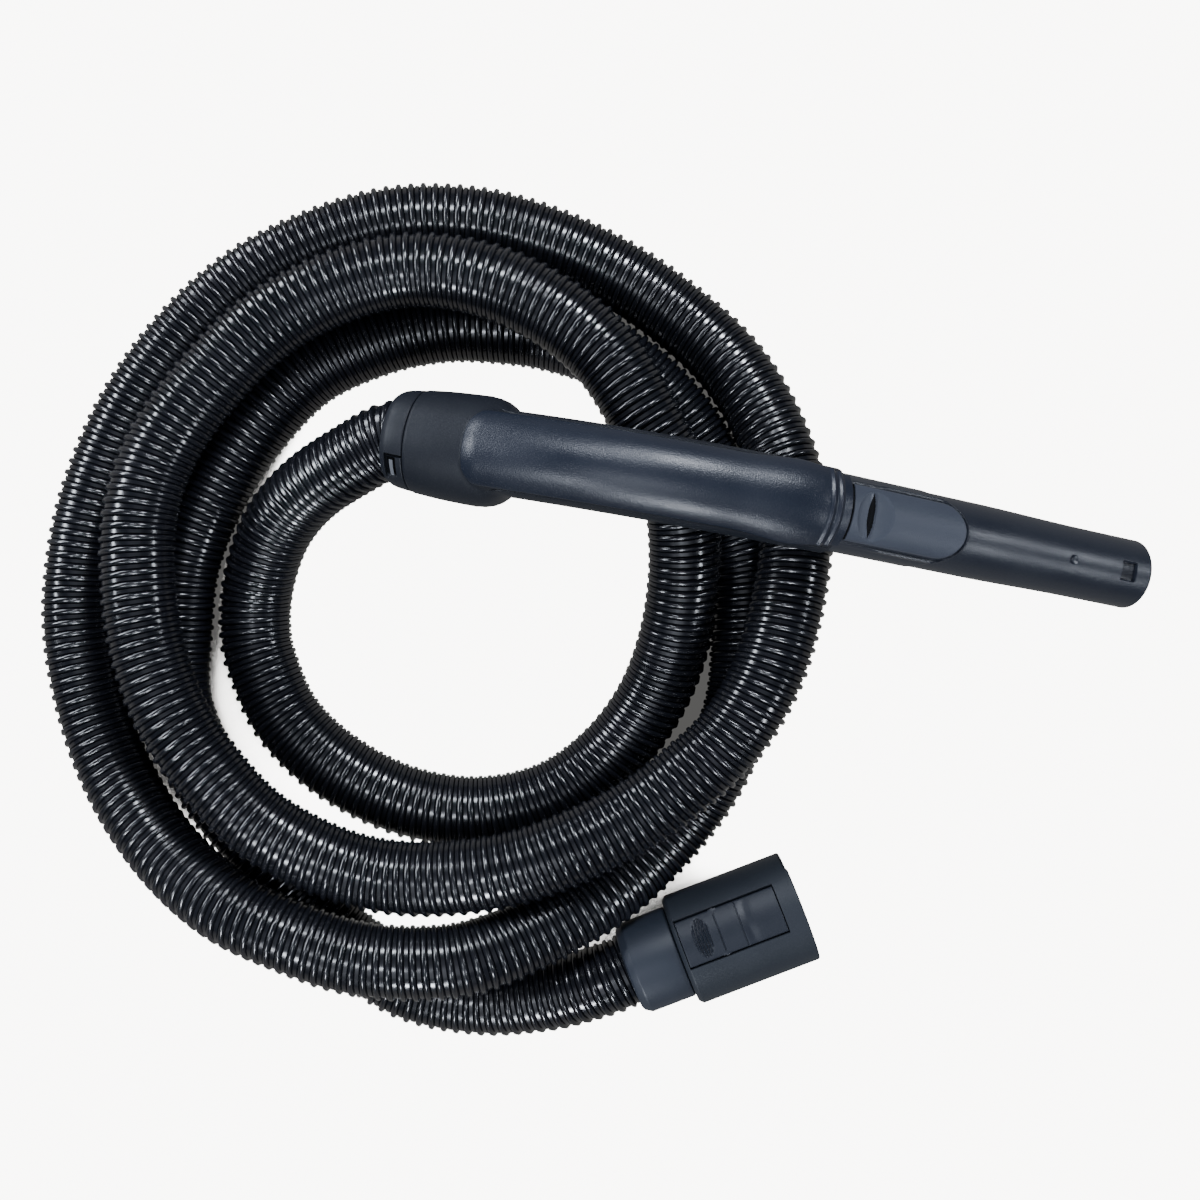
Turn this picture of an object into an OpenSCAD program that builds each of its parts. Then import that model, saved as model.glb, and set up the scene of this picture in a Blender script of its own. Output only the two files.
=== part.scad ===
// Canister vacuum cleaner suction hose: bent handle with air regulator, spiral hose in four loose turns,
// and the latched plug for the cleaner. Millimetres, +Z up, resting on z = 0.

/* [Hose] */
// Outside diameter of the hose body, midway up its ribs
hose_d = 35; // [33:0.5:35]
// Sides of the hose body
hose_sides = 10; // [8:2:12]
// Rings along the hose
hose_rings = 79; // [70:1:80]

/* [Handle] */
// Outside diameter of the suction tube behind the tip
tube_d = 36.4; // [36:0.1:37]
// Outside diameter of the tip that enters a wand
tip_d = 34.8; // [34:0.1:35.5]
// Bore of the tube and the grip duct
duct_d = 31; // [29:0.5:31.5]
// Length of the straight tube
tube_len = 177; // [175:1:179]
// Widest diameter of the hose socket
socket_d = 52.8; // [52:0.2:54]
// Outside diameter of the grip
grip_d = 40.4; // [39.6:0.2:41]

/* [Air regulator] */
// Width of the slider
slider_w = 26; // [22:0.5:27]
// How far the slider travels back under the hood
slider_travel = 14; // [8:1:14]

/* [Plug] */
// Outside diameter of the plug barrel
barrel_d = 55.8; // [55:0.2:56.4]
// Length of the plug barrel
barrel_len = 63.4; // [62:0.2:65]
// Bore of the mouth that takes the cleaner's inlet pipe
mouth_d = 39.2; // [39:0.1:39.4]
// Diameter of the cuff on the hose
cuff_d = 46; // [44:0.5:47]
// Width of a rocker latch
latch_w = 22.8; // [20:0.2:24]

/* [Hidden] */
$fn = 64;

origin = [84.3, -51.8, 0];      // point of the layout that the origin stands under
handle_at = [-98.2, 78.1, 0]; // hose end of the handle
handle_turn = -10.1;          // plan direction of the handle
socket_rise = 14;             // slope of the socket
socket_z = 56;                // height of the socket's axis at its hose end
grip_bend = 207;              // radius of the grip's bend
bend_t = 131.2;               // where the grip's bend is highest
bend_z = 95.5;                // height of the grip's axis there
rise_in = 20.3;               // slope of the grip at the socket
fall_out = 21.5;              // slope of the tube
plug_at = [14.4, -184.5, 28]; // hose end of the machine cuff
plug_roll = -16.3; // how far the swivelling plug is turned about its axis
plug_turn = 20.9;             // plan direction of the plug

tube_r = tube_d / 2;
tip_r = tip_d / 2;
duct_r = duct_d / 2;
grip_r = grip_d / 2;
skin_r = grip_r - 2;          // duct under the grip cover
socket_r = socket_d / 2;
spigot_r = 19.5;              // handle cuff in its socket
run = 0.05;                   // radial running clearance
cover_half = 62;              // half angle of the grip cover

barrel_r = barrel_d / 2;
mouth_r = mouth_d / 2;
liner_r = mouth_r + 0.3;      // behind the mouth's guide ring
seam = 27.5;                  // start of the barrel from the cuff's hose end
plug_end = seam + barrel_len;
pspigot_r = 18.6;
pin_w = 49.1;                 // latch pivot, along the plug
pin_h = 23.2;                 // latch pivot, from the plug's axis

// Centreline of the hose, in layout coordinates
route = [
    [-98.2, 77.8, 56], [-106.5, 75.2, 53.8], [-116.5, 70, 50.5], [-128, 64, 46], [-140, 57, 40], [-151.5, 47.5, 34],
    [-161.5, 35, 28.5], [-168.5, 20, 23.5], [-173, 3.5, 19.5], [-174, -14, 18.5], [-171, -31, 18.5], [-158.5, -59, 18.5], [-135, -82.5, 18.5],
    [-101, -100.5, 18.5], [-63, -107, 18.5], [-26, -99.5, 18.5], [3.5, -79.5, 18.5], [25, -51, 24],
    [37, -18.5, 33.5], [41.5, 19.5, 44], [37.5, 55.5, 52.5], [22, 87, 56], [3.5, 117, 55.5],
    [-22.5, 139.5, 53.5], [-56, 155.5, 50], [-93, 160.5, 47], [-129, 152, 47], [-163.5, 133, 47],
    [-193, 103, 48], [-213.5, 72, 50], [-222.5, 41, 53], [-223, 9.5, 54], [-218.5, -23, 54.5],
    [-207.5, -54, 55], [-189.5, -81.5, 55], [-165, -107.5, 54.5], [-134, -125, 54], [-104, -133.5, 53],
    [-72.5, -134, 55], [-41, -129, 57], [-10.5, -118, 57], [17, -104, 55], [41.5, -86, 55],
    [63, -65.5, 55.5], [80, -37.5, 54.5], [90.5, -5, 50.5], [95.5, 27, 45.5], [93.5, 55.5, 39],
    [83.5, 87, 31], [67.5, 115.5, 24], [45, 139, 19.5], [14, 161.5, 18.5], [-21.5, 179, 18.5],
    [-60.5, 190, 18.5], [-101.5, 191, 18.5], [-140.5, 180.5, 18.5], [-178, 161, 18.5], [-210, 132, 18.5],
    [-236, 95.5, 18.5], [-253, 56.5, 18.5], [-261.5, 20, 18.5], [-263, -16, 18.5], [-255.5, -55.5, 19],
    [-240, -91.5, 24], [-214.5, -124.5, 35], [-182.5, -148.5, 48], [-149.5, -162.5, 54.5], [-120.5, -172, 55.5],
    [-91.5, -175, 55.5], [-63, -173, 53], [-34.5, -163.5, 45.5], [-6, -149.5, 37.5], [20, -131.5, 25.5],
    [44.5, -106, 18.5], [61.5, -78, 18.5], [71.5, -48, 18.5], [73.5, -12.5, 18.5], [72, 22.5, 18.5],
    [64, 50.5, 18.5], [51, 76.5, 18.5], [32.5, 101, 18.5], [8, 121.5, 18.5], [-22, 132.5, 18.5],
    [-50.5, 137, 18.5], [-81, 137.5, 18.5], [-113.5, 130.5, 18.5], [-148, 114, 18.5], [-176, 84.5, 18.5],
    [-197, 51.5, 18.5], [-209.5, 20, 18.5], [-213.5, -12.5, 18.5], [-215, -45.5, 18.5], [-206, -74, 18.5],
    [-192, -99.5, 18.5], [-172.5, -124, 18.5], [-152, -148, 18.5], [-127, -173, 18.5], [-97, -193.5, 18.5],
    [-61.5, -201, 18.5], [-27.5, -198, 22.5], [0, -190, 27.5], [14, -184.5, 28], [28, -179.3, 28]
];

// A point of the smooth curve through p, at u from 0 to len(p) - 1
function curve(p, u) =
    let(i = max(0, min(floor(u), len(p) - 2)), f = u - i,
        b = p[i], c = p[i + 1],
        a = i > 0 ? p[i - 1] : 2 * b - c,
        d = i + 2 < len(p) ? p[i + 2] : 2 * c - b)
    0.5 * (2 * b + (c - a) * f + (2 * a - 5 * b + 4 * c - d) * f * f + (3 * b - a - 3 * c + d) * f * f * f);
function unit(v) = v / norm(v);
function ring(p, t, r, n) =
    let(s = unit(cross(t, [0, 0, 1])), w = cross(s, t))
    [for (j = [0:n - 1]) p + r * (cos(360 * j / n) * -w + sin(360 * j / n) * s)];
// Faces of a tube of m rings of n points, closed at both ends
function tube_faces(m, n) = concat(
    [[for (j = [0:n - 1]) j]],
    [for (k = [0:m - 2]) for (j = [0:n - 1])
        let(a = k * n + j, b = k * n + (j + 1) % n) each [[a, a + n, b + n], [a, b + n, b]]],
    [[for (j = [n - 1:-1:0]) (m - 1) * n + j]]);

module place() translate(-origin) children();
// x along the handle in plan, z up
module in_handle() place() translate(handle_at) rotate([0, 0, handle_turn]) children();
// z along the socket, -x upwards
module in_socket() in_handle() translate([0, 0, socket_z]) rotate([0, 90 - socket_rise, 0]) children();
// z along the tube, from the end of the bend, -x upwards
module in_tube() in_handle()
    translate([bend_t + grip_bend * sin(fall_out), 0, bend_z - grip_bend * (1 - cos(fall_out))])
    rotate([0, 90 + fall_out, 0]) children();
// Sweeps a section round the grip's bend, from angle a0 to a1; the section's +x points up
module bend(a0, a1) in_handle() translate([bend_t, 0, bend_z - grip_bend]) rotate([90, 0, 0])
    rotate([0, 0, a0]) rotate_extrude(angle = a1 - a0, $fn = 120) translate([grip_bend, 0]) children();
// z along the plug, from the cuff's hose end, -x upwards
module in_plug() place() translate(plug_at) rotate([0, 0, plug_turn]) rotate([0, 90, 0]) children();
module in_barrel() in_plug() rotate([0, 0, plug_roll]) children();

module socket_outer() rotate_extrude() polygon([[0, 13.4], [socket_r - 1.8, 13.4], [socket_r - 1.4, 17],
    [socket_r - 0.6, 24.5], [socket_r - 0.2, 34], [socket_r, 44], [socket_r - 0.4, 50], [socket_r - 1.5, 54],
    [socket_r - 3.6, 58], [socket_r - 6, 61], [socket_r - 9, 62.6], [0, 62.6]]);
// Wedge of a section, either side of +x
module fan(r, half) polygon([[0, 0], [r * cos(half), -r * sin(half)], [r * 1.9, -r * 1.4], [r * 1.9, r * 1.4],
    [r * cos(half), r * sin(half)]]);
// Slider's outline in plan, from z0 to z1 along the tube, round at z1
module slide_plan(w, z0, z1, h) rotate([0, -90, 0]) linear_extrude(h) {
    translate([z0, -w / 2]) square([z1 - w / 2 - z0, w]);
    translate([z1 - w / 2, 0]) circle(w / 2);
}

module wand_tube() color([0.24, 0.26, 0.30]) in_tube() difference() {
    union() {
        rotate_extrude() polygon([[0, 0], [tube_r, 0], [tube_r, 78], [tip_r, 140], [tip_r, tube_len - 1.6],
            [tip_r - 0.8, tube_len], [0, tube_len]]);
        intersection() {
            cylinder(r = tube_r + 1.4, h = 80);
            difference() {
                slide_plan(slider_w + 4.4, 3, 66.6, 40);
                translate([1, 0, 0]) slide_plan(slider_w + 0.8, -5, 64.6, 42);
            }
        }
    }
    translate([0, 0, -1]) cylinder(r = duct_r, h = tube_len + 2);
    // air inlet under the slider
    translate([-30, -6, 51]) cube([20, 12, 9]);
    // seat of the leaf spring
    translate([-tube_r - 1, -3.2, 27.8]) cube([1.9, 6.4, 14.4]);
    // wand catch recess and dimple
    translate([-tip_r - 1, -5, 158.5]) cube([2.4, 10, 8.8]);
    translate([-tip_r - 0.6, 0, 129]) rotate([0, 90, 0]) cylinder(r1 = 2.9, r2 = 1, h = 1.9);
}

// Start of the grip inside the socket, straight, up to the bend
module in_stub() in_handle()
    translate([bend_t - grip_bend * sin(rise_in), 0, bend_z - grip_bend * (1 - cos(rise_in))])
    rotate([0, 90 - rise_in, 0]) children();

module hose_socket() color([0.22, 0.24, 0.28]) difference() {
    union() {
        in_socket() socket_outer();
        in_stub() translate([0, 0, -10.7]) cylinder(r = grip_r, h = 10.7);
        // nose of the grip
        in_stub() translate([0, 0, -10.7]) sphere(r = grip_r);
    }
    in_stub() translate([0, 0, -13]) cylinder(r = duct_r, h = 24);
    in_socket() translate([0, 0, 13]) cylinder(r = spigot_r + run, h = 27.2);
    in_socket() translate([0, 0, 40]) cylinder(r = 21.5, h = 8);
    in_socket() translate([0, 0, 40]) cylinder(r = 18.5, h = 17.5);
}

module grip_duct() color([0.22, 0.24, 0.28]) bend(90 - fall_out, 90 + rise_in) difference() {
    circle(grip_r, $fn = 48);
    difference() {
        fan(grip_r, cover_half);
        circle(skin_r, $fn = 48);
    }
    circle(duct_r, $fn = 48);
}

module grip_cover() color([0.26, 0.28, 0.33]) union() {
    bend(90 - fall_out + 4.6, 90 + rise_in) difference() {
        intersection() {
            circle(grip_r);
            fan(grip_r, cover_half - 0.3);
        }
        circle(skin_r + 0.1);
    }
    // hood over the slider
    in_tube() intersection() {
        translate([0, 0, -21]) difference() {
            cylinder(r = grip_r + 3, h = 22.5);
            translate([0, 0, 4]) cylinder(r = 21.5, h = 20);
            translate([0, 0, -1]) cylinder(r = skin_r + 0.2, h = 26);
        }
        translate([-40, -17, -30]) cube([29, 34, 40]);
    }
}

module air_slider() color([0.27, 0.29, 0.34]) in_tube() difference() {
    intersection() {
        difference() {
            translate([0, 0, -20]) cylinder(r = 21, h = 90);
            translate([0, 0, -21]) cylinder(r = 18.6, h = 92);
        }
        slide_plan(slider_w, -2, 64, 40);
    }
    // thumb notch
    translate([-25.6, -20, 15.5]) rotate([-90, 0, 0]) cylinder(r = 6, h = 40);
}

module slider_spring() color([0.7, 0.7, 0.72]) in_tube() translate([-tube_r + 0.3, -3, 28]) cube([0.55, 6, 14]);

module coupling_ring() color([0.20, 0.22, 0.26]) in_socket() difference() {
    rotate_extrude() polygon([[spigot_r, 13], [spigot_r, 4], [20.2, 0.4], [20.9, 0.4], [21.7, 1.2], [23, 3.4],
        [23.8, 7], [24.4, 13]]);
    // two bayonet windows, each with its lead-in
    for (a = [0, 180]) rotate([0, 0, 180 + a]) {
        rotate([0, 0, -41]) translate([18.5, -6.5, 4.6]) cube([8, 13, 5]);
        rotate([0, 0, -18]) translate([20.4, -0.6, 3.4]) cube([8, 1.2, 9]);
    }
}

module handle_cuff() color([0.13, 0.13, 0.14]) in_socket() difference() {
    translate([0, 0, 4]) cylinder(r = spigot_r, h = 40);
    translate([0, 0, 3]) cylinder(r = 16, h = 42);
    translate([0, 0, 3]) cylinder(r = 18.3, h = 9);
    // groove of the snap ring
    translate([0, 0, 40.9]) difference() {
        cylinder(r = 22, h = 1.7);
        translate([0, 0, -1]) cylinder(r = 18.6, h = 4);
    }
}

module lock_tabs() color([0.55, 0.56, 0.58]) in_socket() for (a = [0, 180]) rotate([0, 0, 180 + a - 41])
    intersection() {
        translate([18, -5.8, 5.4]) cube([6, 11.6, 3.2]);
        difference() {
            cylinder(r = 22.6, h = 12);
            translate([0, 0, -1]) cylinder(r = spigot_r, h = 14);
        }
    }

module handle_snap_ring() color([0.6, 0.6, 0.62]) in_socket() translate([0, 0, 41]) difference() {
    cylinder(r = 20.7, h = 1.5);
    translate([0, 0, -1]) cylinder(r = 18.6, h = 4);
    translate([0, -3, -1]) cube([30, 6, 4]);
}

module handle_seal() color([0.08, 0.08, 0.08]) in_socket() translate([0, 0, 45]) difference() {
    cylinder(r = 21.5, h = 2.4);
    translate([0, 0, -1]) cylinder(r = 16.4, h = 5);
}

module hose() color([0.07, 0.07, 0.08]) place() polyhedron(
    [for (k = [0:hose_rings - 1])
        let(u = (len(route) - 1) * k / (hose_rings - 1), e = 0.02,
            t = unit(curve(route, min(u + e, len(route) - 1)) - curve(route, max(u - e, 0))))
        each ring(curve(route, u), t, hose_d / 2, hose_sides)],
    tube_faces(hose_rings, hose_sides), convexity = 12);

module machine_cuff() color([0.17, 0.18, 0.20]) in_plug() difference() {
    union() {
        rotate_extrude() polygon([[0, 0.2], [19.4, 0.2], [21, 1], [cuff_d / 2, 4.4], [cuff_d / 2, seam - 0.4],
            [0, seam - 0.4]]);
        cylinder(r = pspigot_r, h = 47);
    }
    translate([0, 0, -1]) cylinder(r = 16, h = 50);
    translate([0, 0, -1]) cylinder(r = 18.5, h = 19);
    translate([0, 0, 41.8]) difference() {
        cylinder(r = 22, h = 1.6);
        translate([0, 0, -1]) cylinder(r = 17.8, h = 4);
    }
}

module plug_barrel() color([0.19, 0.21, 0.24]) in_barrel() difference() {
    rotate_extrude() polygon([[pspigot_r + 0.4, seam], [barrel_r - 2, seam], [barrel_r, seam + 2.4],
        [barrel_r, plug_end - 0.8], [barrel_r - 0.8, plug_end], [mouth_r, plug_end], [mouth_r, plug_end - 3],
        [barrel_r - 2.5, plug_end - 3], [barrel_r - 2.5, seam + 3.4], [pspigot_r + 0.4, seam + 3.4]]);
    for (m = [0, 1]) mirror([m, 0, 0]) {
        translate([-40, -latch_w / 2 - 0.7, seam + 1.9]) cube([40 - 20.6, latch_w + 1.4, 51.6]);
        translate([-pin_h, -13.8, pin_w]) rotate([-90, 0, 0]) cylinder(r = 1, h = 27.6);
    }
}

module plug_liner() color([0.17, 0.18, 0.20]) in_barrel() difference() {
    translate([0, 0, seam + 3.4]) cylinder(r = 20.9, h = barrel_len - 6.4);
    translate([0, 0, seam]) cylinder(r = pspigot_r + run, h = 20);
    translate([0, 0, 41.5]) cylinder(r = mouth_r, h = 60);
    translate([0, 0, 41.5]) cylinder(r = liner_r, h = plug_end - 51.5);
    for (m = [0, 1]) mirror([m, 0, 0]) translate([-24, -4.7, 74.3]) cube([24, 9.4, 5.8]);
}

module plug_snap_ring() color([0.6, 0.6, 0.62]) in_plug() translate([0, 0, 41.9]) difference() {
    cylinder(r = 19.25, h = 1.4);
    translate([0, 0, -1]) cylinder(r = 17.8, h = 4);
    translate([0, -2.5, -1]) cube([30, 5, 4]);
}

module plug_seal() color([0.08, 0.08, 0.08]) in_plug() translate([0, 0, 47.5]) difference() {
    cylinder(r = liner_r, h = 2.5);
    translate([0, 0, -1]) cylinder(r = 16.2, h = 5);
}

module port_seal() color([0.08, 0.08, 0.08]) in_plug() translate([0, 0, 60]) difference() {
    cylinder(r = liner_r, h = 3);
    translate([0, 0, -1]) cylinder(r = 16.5, h = 5);
}

// Rocker latch on the side the plug's -x points to
module latch() difference() {
    union() {
        intersection() {
            difference() {
                translate([0, 0, 28]) cylinder(r = barrel_r + 0.1, h = 56);
                translate([0, 0, 27]) cylinder(r = barrel_r - 2.5, h = 58);
            }
            translate([-40, -latch_w / 2, seam + 2.7]) cube([40, latch_w, 50.4]);
        }
        // pivot boss
        intersection() {
            translate([-27, -11.6, pin_w - 2.2]) cube([5.7, 23.2, 4.4]);
            difference() {
                translate([0, 0, 40]) cylinder(r = 26.5, h = 20);
                translate([0, 0, 39]) cylinder(r = 21.3, h = 22);
            }
        }
        // hook
        translate([-26.4, -4, 75.3]) cube([7.4, 8, 3.6]);
    }
    translate([-pin_h, -16, pin_w]) rotate([-90, 0, 0]) cylinder(r = 1 + run, h = 32);
}
module latch_upper() color([0.21, 0.23, 0.27]) in_barrel() latch();
module latch_lower() color([0.21, 0.23, 0.27]) in_barrel() rotate([0, 0, 180]) latch();

module latch_pins() color([0.65, 0.65, 0.67]) in_barrel() for (m = [0, 1]) mirror([m, 0, 0])
    translate([-pin_h, -13.7, pin_w]) rotate([-90, 0, 0]) cylinder(r = 1, h = 27.4);

// Coil spring along -x between the liner and a latch
module latch_spring() polyhedron(
    [for (k = [0:48])
        let(a = k * 360 / 12, h = 21.4 + 3.6 * k / 48, c = [-h, 1.9 * cos(a), 37 + 1.9 * sin(a)],
            t = unit([-0.28, -sin(a), cos(a)]), s = unit(cross(t, [1, 0, 0])), w = cross(s, t))
        for (j = [0:5]) c + 0.35 * (cos(60 * j) * s + sin(60 * j) * w)],
    tube_faces(49, 6), convexity = 6);
module latch_spring_upper() color([0.7, 0.7, 0.72]) in_barrel() latch_spring();
module latch_spring_lower() color([0.7, 0.7, 0.72]) in_barrel() rotate([0, 0, 180]) latch_spring();

wand_tube();
hose_socket();
grip_duct();
grip_cover();
air_slider();
slider_spring();
coupling_ring();
handle_cuff();
lock_tabs();
handle_snap_ring();
handle_seal();
hose();
machine_cuff();
plug_barrel();
plug_liner();
plug_snap_ring();
plug_seal();
port_seal();
latch_upper();
latch_lower();
latch_pins();
latch_spring_upper();
latch_spring_lower();
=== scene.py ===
import math

import bpy
import numpy as np
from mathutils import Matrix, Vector


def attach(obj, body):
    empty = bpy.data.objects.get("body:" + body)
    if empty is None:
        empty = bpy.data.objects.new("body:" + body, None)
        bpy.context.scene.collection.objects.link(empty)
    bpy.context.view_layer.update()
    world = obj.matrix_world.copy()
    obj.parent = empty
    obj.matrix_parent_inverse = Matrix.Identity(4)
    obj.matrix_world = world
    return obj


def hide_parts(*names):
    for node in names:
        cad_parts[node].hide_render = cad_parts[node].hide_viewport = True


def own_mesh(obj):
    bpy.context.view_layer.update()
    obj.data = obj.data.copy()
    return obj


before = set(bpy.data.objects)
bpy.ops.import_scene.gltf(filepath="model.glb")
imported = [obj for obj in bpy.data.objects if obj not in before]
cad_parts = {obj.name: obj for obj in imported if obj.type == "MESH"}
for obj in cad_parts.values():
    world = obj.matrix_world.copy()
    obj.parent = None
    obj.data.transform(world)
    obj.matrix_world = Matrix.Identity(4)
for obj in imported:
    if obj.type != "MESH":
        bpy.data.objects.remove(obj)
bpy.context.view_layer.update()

# ---------------------------------------------------------------- frames, in mm until meshes are made
ORIGIN = np.array([84.3, -51.8, 0.0])


def rot(axis, deg):
    a = math.radians(deg)
    c, s = math.cos(a), math.sin(a)
    m = np.eye(4)
    m[:3, :3] = {
        "x": [[1, 0, 0], [0, c, -s], [0, s, c]],
        "y": [[c, 0, s], [0, 1, 0], [-s, 0, c]],
        "z": [[c, -s, 0], [s, c, 0], [0, 0, 1]],
    }[axis]
    return m


def shift(x, y, z):
    m = np.eye(4)
    m[:3, 3] = (x, y, z)
    return m


PLACE = shift(*(-ORIGIN))
BEND_T, BEND_Z, BEND_R, FALL, RISE = 131.2, 95.5, 207.0, 21.5, 24.6
TUBE_LEN = 177.0
HANDLE = PLACE @ shift(-98.2, 78.1, 0) @ rot("z", -10.1)
SOCKET = HANDLE @ shift(0, 0, 56) @ rot("y", 76)
TUBE = (
    HANDLE
    @ shift(
        BEND_T + BEND_R * math.sin(math.radians(FALL)),
        0,
        BEND_Z - BEND_R * (1 - math.cos(math.radians(FALL))),
    )
    @ rot("y", 90 + FALL)
)
PLUG = PLACE @ shift(14.4, -184.5, 28) @ rot("z", 20.9) @ rot("y", 90)
BARREL = PLUG @ rot("z", -16.3)


def put(m, p):
    p = np.asarray(p, float)
    return p @ m[:3, :3].T + m[:3, 3]


def smooth(x, a, b):
    t = np.clip((np.asarray(x, float) - a) / (b - a), 0, 1)
    return t * t * (3 - 2 * t)


def lines(lo, hi, step, *features):
    """Grid lines from lo to hi, no further apart than step, closer round each feature (centre, half width, step)."""
    out = [np.linspace(lo, hi, max(2, int(round((hi - lo) / step)) + 1))]
    for c, half, st in features:
        a, b = max(lo, c - half), min(hi, c + half)
        if b > a:
            out.append(np.linspace(a, b, max(2, int(round((b - a) / st)) + 1)))
    v = np.unique(np.round(np.concatenate(out), 4))
    keep = [v[0]]
    for x in v[1:]:
        if x - keep[-1] > 0.02:
            keep.append(x)
    keep[-1] = v[-1]
    return np.array(keep)


# ---------------------------------------------------------------- materials
def nodes_of(name):
    m = bpy.data.materials.new(name)
    m.use_nodes = True
    nt = m.node_tree
    b = nt.nodes["Principled BSDF"]
    return m, nt, b


def plastic(name, color, rough, grain=0.0, grain_scale=2500.0, spec=0.5, coat=0.0, wear=0.05, tint=None):
    """Moulded plastic: fine mould grain, a little unevenness in its gloss and colour."""
    m, nt, b = nodes_of(name)
    n = nt.nodes
    geo = n.new("ShaderNodeTexCoord")
    broad = n.new("ShaderNodeTexNoise")
    broad.inputs["Scale"].default_value = 28.0
    broad.inputs["Detail"].default_value = 4.0
    nt.links.new(geo.outputs["Object"], broad.inputs["Vector"])
    ramp = n.new("ShaderNodeMapRange")
    ramp.inputs["From Min"].default_value = 0.3
    ramp.inputs["From Max"].default_value = 0.7
    ramp.inputs["To Min"].default_value = max(0.02, rough - wear)
    ramp.inputs["To Max"].default_value = min(1.0, rough + wear)
    nt.links.new(broad.outputs["Fac"], ramp.inputs["Value"])
    nt.links.new(ramp.outputs["Result"], b.inputs["Roughness"])
    mix = n.new("ShaderNodeMix")
    mix.data_type = "RGBA"
    c2 = tint or [min(1.0, x * 1.25) for x in color]
    mix.inputs["A"].default_value = (*color, 1)
    mix.inputs["B"].default_value = (*c2, 1)
    nt.links.new(broad.outputs["Fac"], mix.inputs["Factor"])
    nt.links.new(mix.outputs["Result"], b.inputs["Base Color"])
    b.inputs["Specular IOR Level"].default_value = spec
    if coat:
        b.inputs["Coat Weight"].default_value = coat
        b.inputs["Coat Roughness"].default_value = 0.12
    if grain:
        fine = n.new("ShaderNodeTexNoise")
        fine.inputs["Scale"].default_value = grain_scale
        fine.inputs["Detail"].default_value = 2.0
        nt.links.new(geo.outputs["Object"], fine.inputs["Vector"])
        bump = n.new("ShaderNodeBump")
        bump.inputs["Strength"].default_value = grain
        bump.inputs["Distance"].default_value = 0.0002
        nt.links.new(fine.outputs["Fac"], bump.inputs["Height"])
        nt.links.new(bump.outputs["Normal"], b.inputs["Normal"])
    return m


def metal(name, color, rough):
    m, nt, b = nodes_of(name)
    n = nt.nodes
    geo = n.new("ShaderNodeTexCoord")
    noise = n.new("ShaderNodeTexNoise")
    noise.inputs["Scale"].default_value = 900.0
    nt.links.new(geo.outputs["Object"], noise.inputs["Vector"])
    ramp = n.new("ShaderNodeMapRange")
    ramp.inputs["To Min"].default_value = rough * 0.7
    ramp.inputs["To Max"].default_value = rough * 1.3
    nt.links.new(noise.outputs["Fac"], ramp.inputs["Value"])
    nt.links.new(ramp.outputs["Result"], b.inputs["Roughness"])
    b.inputs["Base Color"].default_value = (*color, 1)
    b.inputs["Metallic"].default_value = 1.0
    return m


MAT = {
    "housing": plastic("housing_plastic", (0.0085, 0.0100, 0.0138), 0.46, 0.35, 2200, spec=0.2),
    "flank": plastic("flank_plastic", (0.0165, 0.0185, 0.0235), 0.36, 0.2, 2400),
    "cover": plastic("cover_plastic", (0.0080, 0.0108, 0.0186), 0.34, 0.60, 1500, spec=0.44),
    "tube": plastic("tube_plastic", (0.0100, 0.0125, 0.0190), 0.36, 0.4, 2000, spec=0.5),
    "slider": plastic("slider_plastic", (0.032, 0.0375, 0.0505), 0.45, 0.4, 2200, spec=0.33),
    "plug": plastic("plug_plastic", (0.0120, 0.0152, 0.0205), 0.50, 0.4, 2000, spec=0.3),
    "latch": plastic("latch_plastic", (0.0115, 0.0140, 0.0200), 0.42, 0.35, 2000, spec=0.26),
    "cuff": plastic("cuff_plastic", (0.0145, 0.0185, 0.027), 0.48, 0.25, 2200, spec=0.33),
    "hose": plastic("hose_gloss", (0.0050, 0.0056, 0.0078), 0.21, 0.10, 700, spec=0.7, wear=0.03),
    "seal": plastic("seal_rubber", (0.012, 0.012, 0.012), 0.75, 0.4, 3000),
    "spring_steel": metal("spring_wire", (0.55, 0.55, 0.57), 0.25),
    # near-black material set into slits, slots and grooves: painted shade
    "slot": plastic("slot_shadow", (0.0025, 0.0028, 0.0034), 0.8, spec=0.1),
    "tab": plastic("tab_plastic", (0.10, 0.105, 0.115), 0.30, 0.1, 2400),
}


# ---------------------------------------------------------------- mesh helpers
def mesh_from(name, verts_mm, quads, material, body, angle=32.0, mats=None, face_mat=None):
    v = np.asarray(verts_mm, float).reshape(-1, 3) / 1000.0
    q = np.asarray(quads, np.int64)
    me = bpy.data.meshes.new(name)
    me.vertices.add(len(v))
    me.vertices.foreach_set("co", v.astype(np.float32).ravel())
    me.loops.add(q.size)
    me.loops.foreach_set("vertex_index", q.astype(np.int32).ravel())
    me.polygons.add(len(q))
    me.polygons.foreach_set("loop_start", np.arange(0, q.size, q.shape[1], dtype=np.int32))
    me.update(calc_edges=True)
    me.polygons.foreach_set("use_smooth", np.ones(len(q), bool))
    for mt in mats or [material]:
        me.materials.append(mt)
    if face_mat is not None:
        me.polygons.foreach_set("material_index", np.asarray(face_mat, np.int32))
    me.validate()
    if angle < 179:
        me.set_sharp_from_angle(angle=math.radians(angle))
    o = bpy.data.objects.new(name, me)
    bpy.context.scene.collection.objects.link(o)
    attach(o, body)
    return o


def grid_faces(nu, nv, wrap_v=False, wrap_u=False, flip=False, base=0):
    u = np.arange(nu if wrap_u else nu - 1)
    v = np.arange(nv if wrap_v else nv - 1)
    U, V = np.meshgrid(u, v, indexing="ij")
    a = U * nv + V
    b = ((U + 1) % nu) * nv + V
    c = ((U + 1) % nu) * nv + (V + 1) % nv
    d = U * nv + (V + 1) % nv
    f = np.stack([a, d, c, b] if flip else [a, b, c, d], -1).reshape(-1, 4)
    return f + base


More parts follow.
